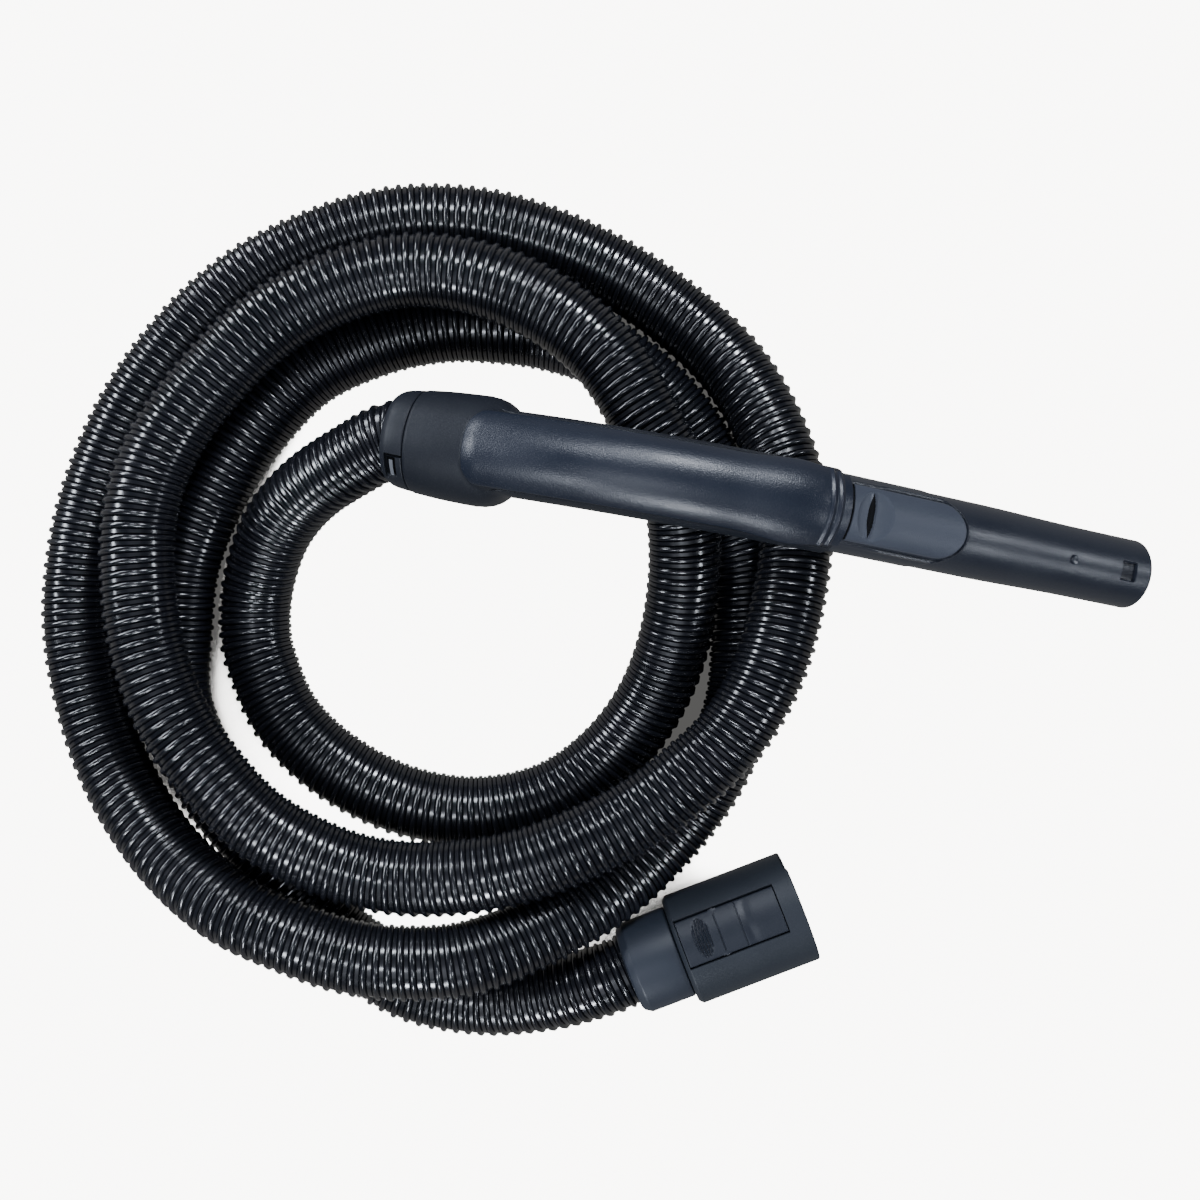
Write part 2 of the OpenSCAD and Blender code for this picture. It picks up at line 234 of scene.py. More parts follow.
def lathe(name, profile, m, material, body, seg=128, closed=True, angle=32.0):
    """Turns a closed profile [(r, z)...] about the frame m's z."""
    p = np.array(profile, float)
    n = len(p)
    a = np.linspace(0, 2 * math.pi, seg, endpoint=False)
    P = np.zeros((n, seg, 3))
    P[..., 0] = -p[:, None, 0] * np.cos(a)
    P[..., 1] = p[:, None, 0] * np.sin(a)
    P[..., 2] = p[:, None, 1]
    q = grid_faces(n, seg, wrap_v=True, wrap_u=closed, flip=True)
    return mesh_from(name, put(m, P.reshape(-1, 3)), q, material, body, angle)


def rounded(points, radius=0.5, steps=3):
    """Rounds the corners of a closed profile."""
    p = [np.array(x[:2], float) for x in points]
    rr = [x[2] if len(x) > 2 else radius for x in points]
    out = []
    n = len(p)
    for i in range(n):
        a, b, c = p[i - 1], p[i], p[(i + 1) % n]
        r = rr[i]
        if r <= 0:
            out.append(b)
            continue
        u, w = a - b, c - b
        lu, lw = np.linalg.norm(u), np.linalg.norm(w)
        if lu < 1e-6 or lw < 1e-6:
            out.append(b)
            continue
        r = min(r, lu * 0.45, lw * 0.45)
        s, e = b + u / lu * r, b + w / lw * r
        for k in range(steps + 1):
            t = k / steps
            out.append((1 - t) ** 2 * s + 2 * t * (1 - t) * b + t * t * e)
    return out


def box_mesh(lo, hi, bevel, m):
    """Vertices and quads of a box with small bevels, in frame m; returned for joining."""
    xs = np.array([lo[0], lo[0] + bevel, hi[0] - bevel, hi[0]])
    ys = np.array([lo[1], lo[1] + bevel, hi[1] - bevel, hi[1]])
    zs = np.array([lo[2], lo[2] + bevel, hi[2] - bevel, hi[2]])
    verts, faces, index = [], [], {}

    def vid(i, j, k):
        if (i, j, k) not in index:
            index[(i, j, k)] = len(verts)
            q = np.array([xs[i], ys[j], zs[k]])
            edge = sum(1 for t in (i, j, k) if t in (0, 3))
            if edge >= 2:
                pull = bevel * (0.29 if edge == 2 else 0.42)
                for ax, t in enumerate((i, j, k)):
                    if t == 0:
                        q[ax] += pull
                    elif t == 3:
                        q[ax] -= pull
            verts.append(q)
        return index[(i, j, k)]

    for k in (0, 3):
        for i in range(3):
            for j in range(3):
                f = [vid(i, j, k), vid(i + 1, j, k), vid(i + 1, j + 1, k), vid(i, j + 1, k)]
                faces.append(f if k == 3 else f[::-1])
    for i in (0, 3):
        for j in range(3):
            for k in range(3):
                f = [vid(i, j, k), vid(i, j + 1, k), vid(i, j + 1, k + 1), vid(i, j, k + 1)]
                faces.append(f if i == 3 else f[::-1])
    for j in (0, 3):
        for i in range(3):
            for k in range(3):
                f = [vid(i, j, k), vid(i + 1, j, k), vid(i + 1, j, k + 1), vid(i, j, k + 1)]
                faces.append(f[::-1] if j == 3 else f)
    return put(m, np.array(verts)), np.array(faces)


def joined(name, parts, material, body, angle=32.0):
    vs, fs, base = [], [], 0
    for v, f in parts:
        vs.append(v)
        fs.append(np.asarray(f) + base)
        base += len(v)
    return mesh_from(name, np.concatenate(vs), np.concatenate(fs), material, body, angle)


# ---------------------------------------------------------------- camera, straight down over the middle of the view
cam = bpy.data.cameras.new("view_camera")
cam.sensor_width = 36.0
cam.sensor_fit = "HORIZONTAL"
cam.lens = 48.24
cam.clip_start = 0.01
cam.clip_end = 20.0
cam_o = bpy.data.objects.new("view_camera", cam)
cam_o.location = (-ORIGIN[0] / 1000, -ORIGIN[1] / 1000, 0.830)
bpy.context.scene.collection.objects.link(cam_o)
bpy.context.scene.camera = cam_o

# ---------------------------------------------------------------- the hose
ROUTE = np.array([
    [-89.5, 76.4, 58.2], [-98.2, 77.8, 56], [-106.5, 75.2, 53.8], [-116.5, 70, 50.5], [-128, 64, 46], [-140, 57, 40], [-151.5, 47.5, 34],
    [-161.5, 35, 28.5], [-168.5, 20, 23.5], [-173, 3.5, 19.5], [-174, -14, 18.5], [-171, -31, 18.5], [-158.5, -59, 18.5], [-135, -82.5, 18.5],
    [-101, -100.5, 18.5], [-63, -107, 18.5], [-26, -99.5, 18.5], [3.5, -79.5, 18.5], [25, -51, 24],
    [37, -18.5, 33.5], [41.5, 19.5, 44], [37.5, 55.5, 52.5], [22, 87, 56], [3.5, 117, 55.5],
    [-22.5, 139.5, 53.5], [-56, 155.5, 50], [-93, 160.5, 47], [-129, 152, 47], [-163.5, 133, 47],
    [-193, 103, 48], [-213.5, 72, 50], [-222.5, 41, 53], [-223, 9.5, 54], [-218.5, -23, 54.5],
    [-207.5, -54, 55], [-189.5, -81.5, 55], [-165, -107.5, 54.5], [-134, -125, 54], [-104, -133.5, 53],
    [-72.5, -134, 55], [-41, -129, 57], [-10.5, -118, 57], [17, -104, 55], [41.5, -86, 55],
    [63, -65.5, 55.5], [80, -37.5, 54.5], [90.5, -5, 50.5], [95.5, 27, 45.5], [93.5, 55.5, 39],
    [83.5, 87, 31], [67.5, 115.5, 24], [45, 139, 19.5], [14, 161.5, 18.5], [-21.5, 179, 18.5],
    [-60.5, 190, 18.5], [-101.5, 191, 18.5], [-140.5, 180.5, 18.5], [-178, 161, 18.5], [-210, 132, 18.5],
    [-236, 95.5, 18.5], [-253, 56.5, 18.5], [-261.5, 20, 18.5], [-263, -16, 18.5], [-255.5, -55.5, 19],
    [-240, -91.5, 24], [-214.5, -124.5, 35], [-182.5, -148.5, 48], [-149.5, -162.5, 54.5], [-120.5, -172, 55.5],
    [-91.5, -175, 55.5], [-63, -173, 53], [-34.5, -163.5, 45.5], [-6, -149.5, 37.5], [20, -131.5, 25.5],
    [44.5, -106, 18.5], [61.5, -78, 18.5], [71.5, -48, 18.5], [73.5, -12.5, 18.5], [72, 22.5, 18.5],
    [64, 50.5, 18.5], [51, 76.5, 18.5], [32.5, 101, 18.5], [8, 121.5, 18.5], [-22, 132.5, 18.5],
    [-50.5, 137, 18.5], [-81, 137.5, 18.5], [-113.5, 130.5, 18.5], [-148, 114, 18.5], [-176, 84.5, 18.5],
    [-197, 51.5, 18.5], [-209.5, 20, 18.5], [-213.5, -12.5, 18.5], [-215, -45.5, 18.5], [-206, -74, 18.5],
    [-192, -99.5, 18.5], [-172.5, -124, 18.5], [-152, -148, 18.5], [-127, -173, 18.5], [-97, -193.5, 18.5],
    [-61.5, -201, 18.5], [-27.5, -198, 22.5], [0, -190, 27.5], [14, -184.5, 28], [28, -179.3, 28],
])


def route_point(u):
    n = len(ROUTE)
    i = np.clip(np.floor(u).astype(int), 0, n - 2)
    f = (u - i)[:, None]
    b, c = ROUTE[i], ROUTE[i + 1]
    a = np.where((i > 0)[:, None], ROUTE[np.maximum(i - 1, 0)], 2 * b - c)
    d = np.where((i + 2 < n)[:, None], ROUTE[np.minimum(i + 2, n - 1)], 2 * c - b)
    return 0.5 * (2 * b + (c - a) * f + (2 * a - 5 * b + 4 * c - d) * f**2 + (3 * b - a - 3 * c + d) * f**3)


dense = route_point(np.linspace(0, len(ROUTE) - 1, (len(ROUTE) - 1) * 40 + 1))
arc = np.r_[0, np.cumsum(np.linalg.norm(np.diff(dense, axis=0), axis=1))]
HOSE_LEN = arc[-1]


def along(s, table):
    return np.stack([np.interp(s, arc, table[:, k]) for k in range(3)], -1)


tangent = np.gradient(dense, arc, axis=0)
kernel = np.ones(25) / 25
tangent = np.stack(
    [np.convolve(np.pad(tangent[:, k], 12, mode="edge"), kernel, mode="valid") for k in range(3)], -1
)
tangent /= np.linalg.norm(tangent, axis=1)[:, None]
curvature = np.gradient(tangent, arc, axis=0)
curvature = np.stack(
    [np.convolve(np.pad(curvature[:, k], 30, mode="edge"), np.ones(61) / 61, mode="valid") for k in range(3)], -1
)
side = np.cross(tangent, [0, 0, 1.0])
side /= np.linalg.norm(side, axis=1)[:, None]
upward = np.cross(side, tangent)

PITCH = 5.6
# one turn of the spiral: round crest, flank, groove, broad flat band a little lower, groove, flank
PROFILE = [(0.00, 18.3), (0.14, 18.1), (0.215, 17.3), (0.28, 16.1), (0.35, 17.0), (0.65, 17.0), (0.72, 16.1), (0.785, 17.3), (0.86, 18.1)]
AROUND = 18


def build_hose():
    # the turns lie closer together where the hose is pushed into the handle
    at = np.linspace(0, HOSE_LEN, 20001)
    pitch = PITCH * (0.76 + 0.24 * smooth(at, 50, 135))
    phase = np.r_[0, np.cumsum(2 * np.diff(at) / (pitch[1:] + pitch[:-1]))]
    turns = int(phase[-1]) - 1
    per = len(PROFILE)
    k = np.arange(turns * per)
    r0 = np.array([p[1] for p in PROFILE])[k % per]
    j = np.arange(AROUND)
    turn = k // per + np.array([p[0] for p in PROFILE])[k % per] + 0.05
    s = np.interp(turn[:, None] + j[None, :] / AROUND, phase, at)
    phi = 2 * math.pi * j / AROUND
    # a soft hose isn't perfectly regular
    wob = 1 + 0.004 * np.sin(s / 37.0 + 1.3) + 0.003 * np.sin(s / 11.3)
    flat = s.ravel()
    c = along(flat, dense).reshape(*s.shape, 3)
    sd = along(flat, side).reshape(*s.shape, 3)
    up = along(flat, upward).reshape(*s.shape, 3)
    D = np.cos(phi)[None, :, None] * up + np.sin(phi)[None, :, None] * sd
    # on the inside of a bend the wall between the crests is squeezed outwards, on the outside it is drawn in
    squeeze = (along(flat, curvature).reshape(*s.shape, 3) * D).sum(-1) * 18
    wall = np.clip((18.3 - r0) / 1.3, 0, 1)[:, None]
    r = r0[:, None] * wob + wall * np.clip(5 * squeeze, -0.1, 0.8)
    P = c + r[..., None] * D
    n = len(k)
    a = np.arange(n - 1)[:, None] * AROUND + np.arange(AROUND - 1)[None, :]
    q1 = np.stack([a, a + 1, a + 1 + AROUND, a + AROUND], -1).reshape(-1, 4)
    b = np.arange(n - 1 - per)
    last = b * AROUND + AROUND - 1
    nxt = (b + per) * AROUND
    q2 = np.stack([last, nxt, nxt + AROUND, last + AROUND], -1)
    o = mesh_from("ribbed_hose", P.reshape(-1, 3), np.concatenate([q1, q2]), MAT["hose"], "handle", angle=53)
    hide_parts("hose")
    centre = put(PLACE, along(np.linspace(0, HOSE_LEN, 700), dense)) / 1000
    return o, centre


hose_o, hose_line = build_hose()
hose_o.data.vertices.foreach_set(
    "co",
    (
        np.array([v.co for v in hose_o.data.vertices]) - (ORIGIN / 1000)
    ).astype(np.float32).ravel(),
)
hose_o.data.update()

# ---------------------------------------------------------------- handle: socket and grip, one smooth shell
SOCKET_PROFILE = np.array([
    (13.35, 24.05), (13.5, 24.35), (14.6, 24.9), (17, 25.1), (22, 25.55), (28, 25.95), (34, 26.2), (40, 26.38), (45, 26.4),
    (50, 26.0), (54, 24.9), (57, 23.3), (59.5, 21.2), (61.3, 18.4), (62.4, 15.0), (63.2, 10.0), (63.6, 5.0), (63.7, 0.0),
])


def handle_local(p):
    """Points in the handle's frame from points given there, as (t, y, z)."""
    return put(HANDLE, p)


def socket_coords(p):
    t, y, z = p[..., 0], p[..., 1], p[..., 2] - 56.0
    c, s = math.cos(math.radians(14)), math.sin(math.radians(14))
    a = t * c + z * s
    h = -t * s + z * c
    return a, np.hypot(h, y), h


def f_socket(p):
    """Signed distance from the socket's outside."""
    a, rho, h = socket_coords(p)
    best = np.full(a.shape, 1e9)
    for (a0, r0), (a1, r1) in zip(SOCKET_PROFILE[:-1], SOCKET_PROFILE[1:]):
        da, dr = a1 - a0, r1 - r0
        t = np.clip(((a - a0) * da + (rho - r0) * dr) / (da * da + dr * dr), 0, 1)
        best = np.minimum(best, np.hypot(a - a0 - t * da, rho - r0 - t * dr))
    within = (a < 63.7) & (rho < np.interp(a, SOCKET_PROFILE[:, 0], SOCKET_PROFILE[:, 1]))
    return np.where(within, -best, best)


GRIP_R = 20.1
STUB_T = BEND_T - BEND_R * math.sin(math.radians(20.3))
STUB_Z = BEND_Z - BEND_R * (1 - math.cos(math.radians(20.3)))
STUB_DIR = np.array([math.cos(math.radians(20.3)), 0, math.sin(math.radians(20.3))])

NOSE_V = 18.5  # where the nose meets the socket, back from the end of the stub


def nose_radius(u, r):
    """Radius of the grip's nose along the stub: steep at the front, then a long bevel that eases out."""
    w = np.clip((u + NOSE_V) / 8.0, 0, 1)
    bevel = r - 1.7 * (1 - w) ** 2
    steep = r - 1.7 + 2.4 * (u + NOSE_V) + 0.5
    return np.maximum(smin(steep, bevel, 0.9), 0.0)


def f_grip(p, r=GRIP_R):
    t, y, z = p[..., 0], p[..., 1], p[..., 2]
    d = np.hypot(t - BEND_T, z - (BEND_Z - BEND_R))
    bend = np.hypot(d - BEND_R, y) - r
    q = p - np.array([STUB_T, 0, STUB_Z])
    u = q @ STUB_DIR
    away = np.linalg.norm(q - u[..., None] * STUB_DIR, axis=-1)
    lean = (nose_radius(u + 0.2, r) - nose_radius(u - 0.2, r)) / 0.4
    stub = (away - nose_radius(u, r)) / np.sqrt(1 + lean**2)
    stub = np.maximum(stub, -(u + NOSE_V + 6.6))
    return np.where(u < 0, stub, bend)


def smin(a, b, k):
    h = np.clip(0.5 + 0.5 * (b - a) / k, 0, 1)
    return b * (1 - h) + a * h - k * h * (1 - h)


def bend_point(arc_len):
    """Point and slope on the grip's axis; arc_len from the tube's start backwards is negative, in the handle's frame."""
    ang = math.radians(FALL) + arc_len / BEND_R
    t = BEND_T + BEND_R * np.sin(ang)
    z = BEND_Z - BEND_R * (1 - np.cos(ang))
    return t, z, -ang


def shell_axis(n_at):
    """Axis of the rays that find the shell: the socket's, easing over to the grip's."""
    a0, a1 = 13.4, 64.0
    c, s = math.cos(math.radians(14)), math.sin(math.radians(14))
    pts, slopes = [], []
    for v in n_at:
        if v < 0:  # in the socket, v = a - 64
            a = 64 + v
            lift = 11.5 * float(smooth(a, 44, 66))
            t = a * c - lift * s
            z = 56 + a * s + lift * c
            sl = math.radians(14 + 6.3 * float(smooth(a, 40, 66)))
        else:
            total = BEND_R * math.radians(FALL + 20.3)
            t, z, m = bend_point(v - total)
            sl = m
            if v < 12:
                w = float(smooth(v, -6, 12))
                lift = 11.5
                ta = 64 * c - lift * s + v * math.cos(math.radians(20.3))
                za = 56 + 64 * s + lift * c + v * math.sin(math.radians(20.3))
                t, z = (1 - w) * ta + w * t, (1 - w) * za + w * z
        pts.append((t, 0.0, z))
        slopes.append(sl)
    return np.array(pts), np.array(slopes)


GRIP_ARC = BEND_R * math.radians(FALL + 20.3)


def build_shell():
    stations = lines(-50.65, GRIP_ARC - 0.2, 2.4, (-50.0, 1.0, 0.25), (-24, 26, 1.0), (-2, 10, 0.7))
    pts, slopes = shell_axis(stations)
    psi = lines(-180, 180, 3.0, (0, 60, 2.2), (63.3, 3.2, 0.5), (-63.3, 3.2, 0.5))[:-1]
    psi_r = np.radians(psi)
    T = np.stack([np.cos(slopes), 0 * slopes, np.sin(slopes)], -1)
    U = np.stack([-np.sin(slopes), 0 * slopes, np.cos(slopes)], -1)
    Y = np.array([0.0, 1.0, 0.0])
    D = np.cos(psi_r)[None, :, None] * U[:, None, :] + np.sin(psi_r)[None, :, None] * Y
    k = 0.8 + 5.2 * smooth(np.abs(psi), 50, 85)
    k = np.broadcast_to(k[None, :], (len(stations), len(psi)))

    def F(r):
        p = pts[:, None, :] + r[..., None] * D
        return smin(f_socket(p), f_grip(p), k)

    hi = np.full((len(stations), len(psi)), 45.0)
    lo = hi.copy()
    step = 0.5
    found = np.zeros_like(hi, bool)
    r = hi.copy()
    for _ in range(84):
        r2 = r - step
        inside = F(r2) < 0
        new = inside & ~found
        lo[new], hi[new] = r2[new], r[new]
        found |= new
        r = r2
    for _ in range(14):
        mid = 0.5 * (lo + hi)
        ins = F(mid) < 0
        lo = np.where(ins, mid, lo)
        hi = np.where(ins, hi, mid)
    R = 0.5 * (lo + hi)
    P = pts[:, None, :] + R[..., None] * D
    # groove along the cover's lower edges, clear of the socket
    seam = np.exp(-(((np.abs(psi) - 63.3) / 1.7) ** 4))
    R = R - 0.9 * seam[None, :] * smooth(f_socket(P), 0.6, 2.6)
    P = pts[:, None, :] + R[..., None] * D
    # rounded lip and the bore's edge at the hose end, and a short turn inwards at the tube end
    first, c0 = P[0], pts[0]
    rings = []
    for shrink, back in ((0.0, 0.0),):
        rings.append(c0 + (first - c0) * (1 - shrink))
    inner = []
    for rad, a in ((22.5, 13.3), (19.7, 13.3), (19.7, 24.0)):
        c, s = math.cos(math.radians(14)), math.sin(math.radians(14))
        base = np.array([a * c, 0, 56 + a * s])
        u = np.array([-s, 0, c])
        inner.append(base + rad * (np.cos(psi_r)[:, None] * u + np.sin(psi_r)[:, None] * Y))
    inner = inner[::-1]
    last, cl = P[-1], pts[-1]
    tail = [cl + (last - cl) * 0.975 + T[-1] * 0.15, cl + (last - cl) * 0.90 + T[-1] * 0.15]
    allp = np.concatenate([np.array(inner), P, np.array(tail)], 0)
    q = grid_faces(allp.shape[0], len(psi), wrap_v=True, flip=True)
    # faces along the seam groove get the near-black slot_shadow material: painted shade in the groove
    dark = np.zeros(allp.shape[:2], bool)
    dark[len(inner) : len(inner) + len(stations)] = (seam[None, :] > 0.5) & (f_socket(P) > 1.4)
    kind = (dark.reshape(-1)[q].sum(1) >= 3).astype(int)
    o = mesh_from(
        "handle_shell", handle_local(allp.reshape(-1, 3)), q, None, "handle", 40,
        mats=[MAT["housing"], MAT["slot"]], face_mat=kind,
    )
    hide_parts("hose_socket", "grip_duct")
    return o


build_shell()


def build_cover():
    """The upper half of the grip, from its nose over the socket to the hood in front of the slider."""
    half = 61.5
    total = GRIP_ARC
    # v runs along the grip: < 0 in the stub, > 0 along the bend
    v = lines(-NOSE_V - 6.4, total + 1.25, 2.4, (-NOSE_V, 2.0, 0.2), (-NOSE_V + 7, 8, 0.6), (total - 5, 8.5, 0.3), (total + 0.8, 0.7, 0.12))
    scale = nose_radius(v, 20.35) / 20.35
    s_tube = v - total  # the tube's coordinate where it is near 0
    rise = (
        20.35
        + 2.85 * smooth(s_tube, -50, -12)
        - 0.75 * smooth(s_tube, -8.2, -6.4)
        - 0.6 * smooth(s_tube, -4.2, -2.8)
        + 0.6 * np.exp(-(((s_tube + 8.6) / 0.85) ** 2))
        + 0.6 * np.exp(-(((s_tube + 4.7) / 0.8) ** 2))
    )
    edge = smooth(s_tube, 0.5, 1.25)
    rise = rise - 1.0 * edge**2
    half_at = half - 11.0 * smooth(s_tube, -26, -6)
    pts, slopes = [], []
    for x in v:
        if x < 0:
            p = np.array([STUB_T, 0, STUB_Z]) + x * STUB_DIR
            sl = math.radians(20.3)
        elif x <= total:
            t, z, sl = bend_point(x - total)
            p = np.array([t, 0, z])
        else:
            t, z, sl = bend_point(0.0)
            p = np.array([t, 0, z]) + (x - total) * np.array([math.cos(sl), 0, math.sin(sl)])
        pts.append(p)
        slopes.append(sl)
    pts, slopes = np.array(pts), np.array(slopes)
    U = np.stack([-np.sin(slopes), 0 * slopes, np.cos(slopes)], -1)
    Y = np.array([0.0, 1.0, 0.0])
    n = 61
    w = np.linspace(-1, 1, n)
    w = np.sign(w) * (1 - (1 - np.abs(w)) ** 1.15)
    ang = np.radians(half_at)[:, None] * w[None, :]
    # the nose runs right round its dome to the seam's height
    P = []
    R = rise[:, None] * scale[:, None] * np.ones((1, n))
    tuck = smooth(np.abs(w), 0.965, 1.0) ** 2 * 0.8
    R = R - tuck[None, :] * scale[:, None]
    outer = pts[:, None, :] + R[..., None] * (np.cos(ang)[..., None] * U[:, None, :] + np.sin(ang)[..., None] * Y)
    Ri = np.maximum(R - 2.0, 0.02)
    Ri = np.where(s_tube[:, None] > -20, np.maximum(21.45, 0 * Ri), Ri)
    Ri = np.minimum(Ri, R - 0.2 * scale[:, None])
    inner = pts[:, None, :] + Ri[..., None] * (np.cos(ang)[..., None] * U[:, None, :] + np.sin(ang)[..., None] * Y)
    nu = len(v)
    ring = np.concatenate([outer, inner[:, ::-1]], 1)
    q = grid_faces(nu, 2 * n, wrap_v=True, flip=False)
    V = ring.reshape(-1, 3)
    # close the hood's end
    base = (nu - 1) * 2 * n
    cap = [[base + i, base + 2 * n - 1 - i, base + 2 * n - 2 - i, base + i + 1] for i in range(n - 1)]
    q = np.concatenate([q, np.array(cap)])
    o = mesh_from("grip_cover_skin", handle_local(V), q, MAT["cover"], "handle", 38)
    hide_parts("grip_cover")
    return o


build_cover()


# ---------------------------------------------------------------- the straight tube
def build_tube():
    L = TUBE_LEN
    s = lines(
        0.1, L, 3.0,
        (0.6, 0.5, 0.25), (48, 20.5, 0.45),
        (129, 3.6, 0.3), (158.5, 0.5, 0.12), (167.3, 0.5, 0.12), (163, 4.5, 1.1), (L - 1.2, 1.2, 0.2),
    )
    half = math.degrees(5.0 / 17.4)
    psi = lines(-180, 180, 2.5, (0, 50, 1.35), (half, 1.6, 0.4), (-half, 1.6, 0.4), (0, 9, 0.8))[:-1]
    R = np.where(s < 78, 18.2, 18.2 - 0.8 * smooth(s, 78, 140))
    end = np.clip((s - (L - 1.7)) / 1.7, 0, 1)
    R = R - 1.25 * (1 - np.sqrt(np.clip(1 - end**2, 0, 1)))
    S, A = np.meshgrid(s, psi, indexing="ij")
    y = 18.2 * np.sin(np.radians(A))
    front = np.cos(np.radians(A)) > 0
    Rg = np.broadcast_to(R[:, None], S.shape).copy()
    # the seat of the slider stands a little proud, its end curving down both flanks
    seat = 66.9 - 20 * np.abs(np.sin(np.radians(np.clip(A, -90, 90)))) ** 2.2
    Rg += 0.4 * (1 - smooth(S, seat - 0.7, seat + 0.3))
    # rim round the slider
    wx = 14.45
    d = np.where(S < 65.9 - wx, np.abs(y) - wx, np.hypot(S - (65.9 - wx), y) - wx)
    d = np.where(front, d, 99.0)
    ridge = 0.9 * np.exp(-((d / 0.55) ** 4))
    Rg += ridge * (0.25 + 0.75 * smooth(S, 17, 24)) * smooth(S, 2.5, 5)
    # under the slider the wall drops a little
    Rg -= 0.35 * np.where(front & (d < -0.6), 1.0, 0.0)
    # dimple
    dd = np.hypot(S - 129, 17.5 * np.radians(A))
    Rg -= np.where(front, 1.7 * np.clip(1 - (dd / 2.4) ** 2, 0, 1), 0)
    # catch recess
    inside = (
        smooth(S, 158.35, 158.75) * (1 - smooth(S, 167.05, 167.4)) * (1 - smooth(np.abs(17.4 * np.radians(A)), 4.8, 5.15))
    )
    Rg -= np.where(front, 1.9 * inside, 0)
    P = np.stack([-Rg * np.cos(np.radians(A)), Rg * np.sin(np.radians(A)), S], -1)
    ca, sa = np.cos(np.radians(psi)), np.sin(np.radians(psi))
    extra = []
    for rad, z in ((16.2, L), (15.7, L - 0.35), (15.5, L - 1.0), (15.5, 60.0), (15.5, 0.3), (17.6, 0.1)):
        extra.append(np.stack([-rad * ca, rad * sa, np.full(len(psi), z)], -1))
    allp = np.concatenate([P, np.array(extra)], 0)
    q = grid_faces(allp.shape[0], len(psi), wrap_v=True, wrap_u=True, flip=False)
    o = mesh_from("tube_skin", put(TUBE, allp.reshape(-1, 3)), q, MAT["tube"], "handle", 35)
    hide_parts("wand_tube")


build_tube()


# ---------------------------------------------------------------- air slider
def build_slider():
    w = 13.05
    s0, s1 = -2.0, 64.0
    s = lines(s0, s1, 1.6, (1.75, 1.0, 0.15), (14.4, 10.5, 0.4), (12.5, 3.2, 0.16), (s1 - 6, 6, 0.7), (s1 - 0.6, 0.6, 0.1))
    n = 57
    v = np.linspace(-1, 1, n)
    v = np.sign(v) * (1 - (1 - np.abs(v)) ** 1.25)
    half = np.where(s < s1 - w, w, np.sqrt(np.maximum(w * w - (s - (s1 - w)) ** 2, 0.0)))
    half = np.maximum(half, 0.05)
    Y = half[:, None] * v[None, :]
    S = np.broadcast_to(s[:, None], Y.shape)
    # distance to the outline, for the rounded edge
    d_side = np.where(S < s1 - w, w - np.abs(Y), w - np.hypot(S - (s1 - w), Y))
    round_r = 0.8
    t = np.clip(1 - d_side / round_r, 0, 1)
    drop = 0.75 * (1 - np.sqrt(np.clip(1 - t * t, 0, 1)))
    R0 = 20.95
    X = np.sqrt(np.maximum((R0 + 2.2) ** 2 - Y**2, 1.0)) - 2.2  # a little flatter than the tube
    X = X - drop
    # thumb notch: a round bowl with a lens-shaped slit across it
    bowl = np.clip(1 - ((S - 14.4) / 9.6) ** 2 - (Y / 11.4) ** 2, 0, 1)
    X = X - 1.55 * bowl**0.7 * smooth(S, 12.0, 15.5) - 1.45 * bowl**0.6 * (1 - smooth(S, 10.6, 12.4))
    lens = np.clip(1 - (Y / 11.0) ** 2, 0, 1)
    half_slit = 1.9 * lens
    inside = (1 - smooth(np.abs(S - (12.4 + 0.006 * Y**2)), half_slit - 0.3, half_slit + 0.1)) * (lens > 0.01)
    X = X - 0.75 * inside
    # shadow groove where the slider runs under the hood
    gap = smooth(S, 0.9, 1.2) * (1 - smooth(S, 2.3, 2.6))
    X = X - 1.0 * gap
    inside = np.maximum(inside, gap)
    outer = np.stack([-X, Y, S], -1)
    Xi = np.sqrt(np.maximum(18.65**2 - Y**2, 1.0))
    inner = np.stack([-Xi, Y, S], -1)
    ring = np.concatenate([outer, inner[:, ::-1]], 1)
    nu = len(s)
    q = grid_faces(nu, 2 * n, wrap_v=True, flip=True)
    caps = []
    for b, fl in ((0, True), ((nu - 1) * 2 * n, False)):
        for i in range(n - 1):
            f = [b + i, b + i + 1, b + 2 * n - 2 - i, b + 2 * n - 1 - i]
            caps.append(f if not fl else f[::-1])
    q = np.concatenate([q, np.array(caps)])
    # the slit and the groove by the hood's end get the near-black slot_shadow material: painted shade
    dark = np.concatenate([inside > 0.5, np.zeros_like(inner[..., 0], bool)], 1).reshape(-1)
    kind = (dark[q].sum(1) >= 3).astype(int)
    o = mesh_from(
        "slider_pad", put(TUBE, ring.reshape(-1, 3)), q, None, "air_slider", 34,
        mats=[MAT["slider"], MAT["slot"]], face_mat=kind,
    )
    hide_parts("air_slider")


build_slider()


